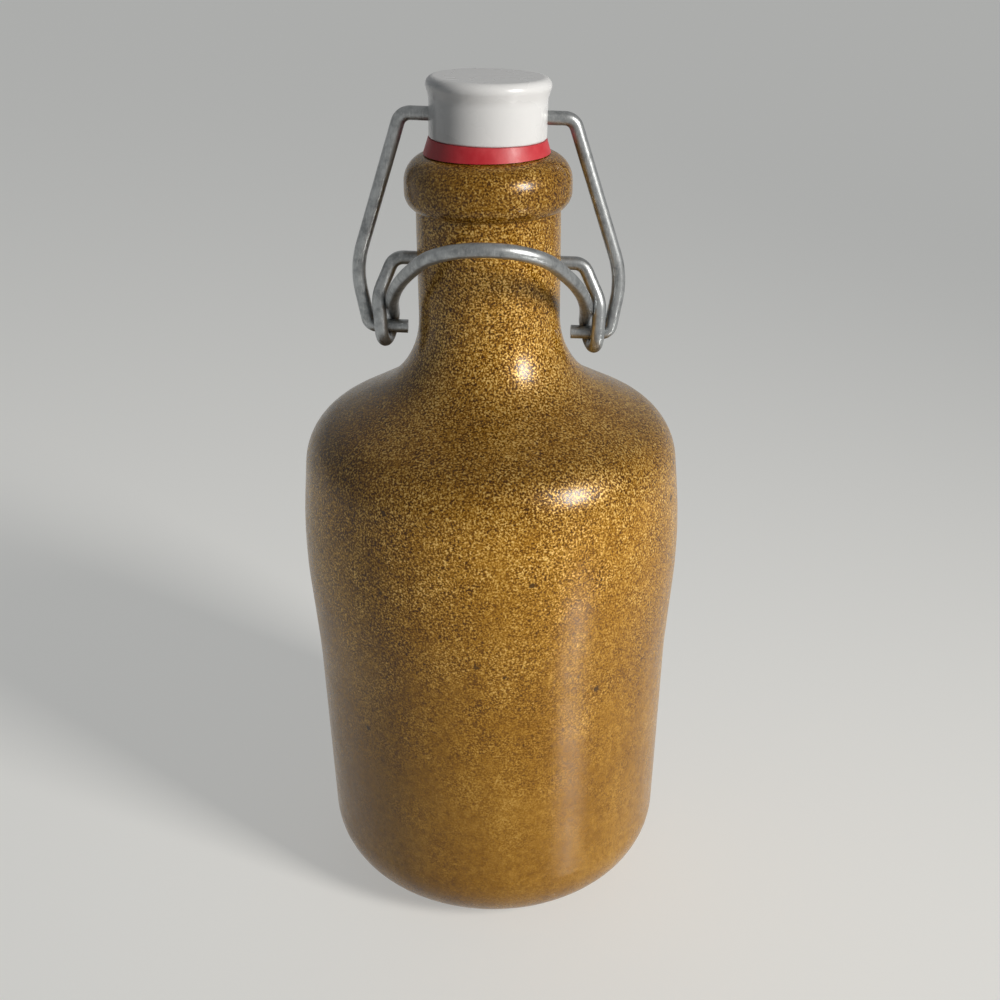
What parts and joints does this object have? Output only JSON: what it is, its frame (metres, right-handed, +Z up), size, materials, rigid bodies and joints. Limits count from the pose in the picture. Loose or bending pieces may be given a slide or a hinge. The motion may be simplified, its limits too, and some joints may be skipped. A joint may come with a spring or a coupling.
{
  "type": "swing-top stoneware bottle",
  "caption": "Thrown stoneware bottle with rounded shoulder and rolled lip, closed by a porcelain stopper with red rubber washer on a spring wire bail and lever.",
  "frame": {"origin": "centre of the foot, on the surface that the bottle stands on", "axes": "+Z up through the mouth; the closure's hinge axes run along X, leaning 2.6 degrees; the bow of the lever is on the -Y side"},
  "size_m": [0.0876, 0.0876, 0.1935],
  "materials": {
    "stoneware": "glossy speckled ochre salt glaze",
    "porcelain": "glossy white glaze",
    "rubber": "satin red rubber",
    "wire": "dull grey zinc-coated spring wire"
  },
  "bodies": {
    "bottle": {"bottle_body": "stoneware"},
    "lever": {"lever_wire": "wire"},
    "bail": {"bail_wire": "wire"},
    "stopper": {"stopper_head": "porcelain", "sealing_washer": "rubber"}
  },
  "joints": [
    {"name": "lever_hinge", "type": "hinge", "parent": "bottle", "child": "lever", "pos_m": [0, 0, 0.1541], "axis": [-0.999, 0, 0.0454], "range_deg": [0, 38]},
    {"name": "bail_hinge", "type": "hinge", "parent": "lever", "child": "bail", "pos_m": [0, 0.0005, 0.1383], "axis": [-0.999, 0, 0.0454], "range_deg": [-25.5, 0]},
    {"name": "stopper_hinge", "type": "hinge", "parent": "bail", "child": "stopper", "pos_m": [0, 0, 0.1851], "axis": [-0.999, 0, 0.0454], "range_deg": [-13.1, 0]}
  ],
  "couplings": [
    {"joint": "bail_hinge", "follows": "lever_hinge", "ratio": -0.66239},
    {"joint": "stopper_hinge", "follows": "lever_hinge", "ratio": -0.33761}
  ]
}
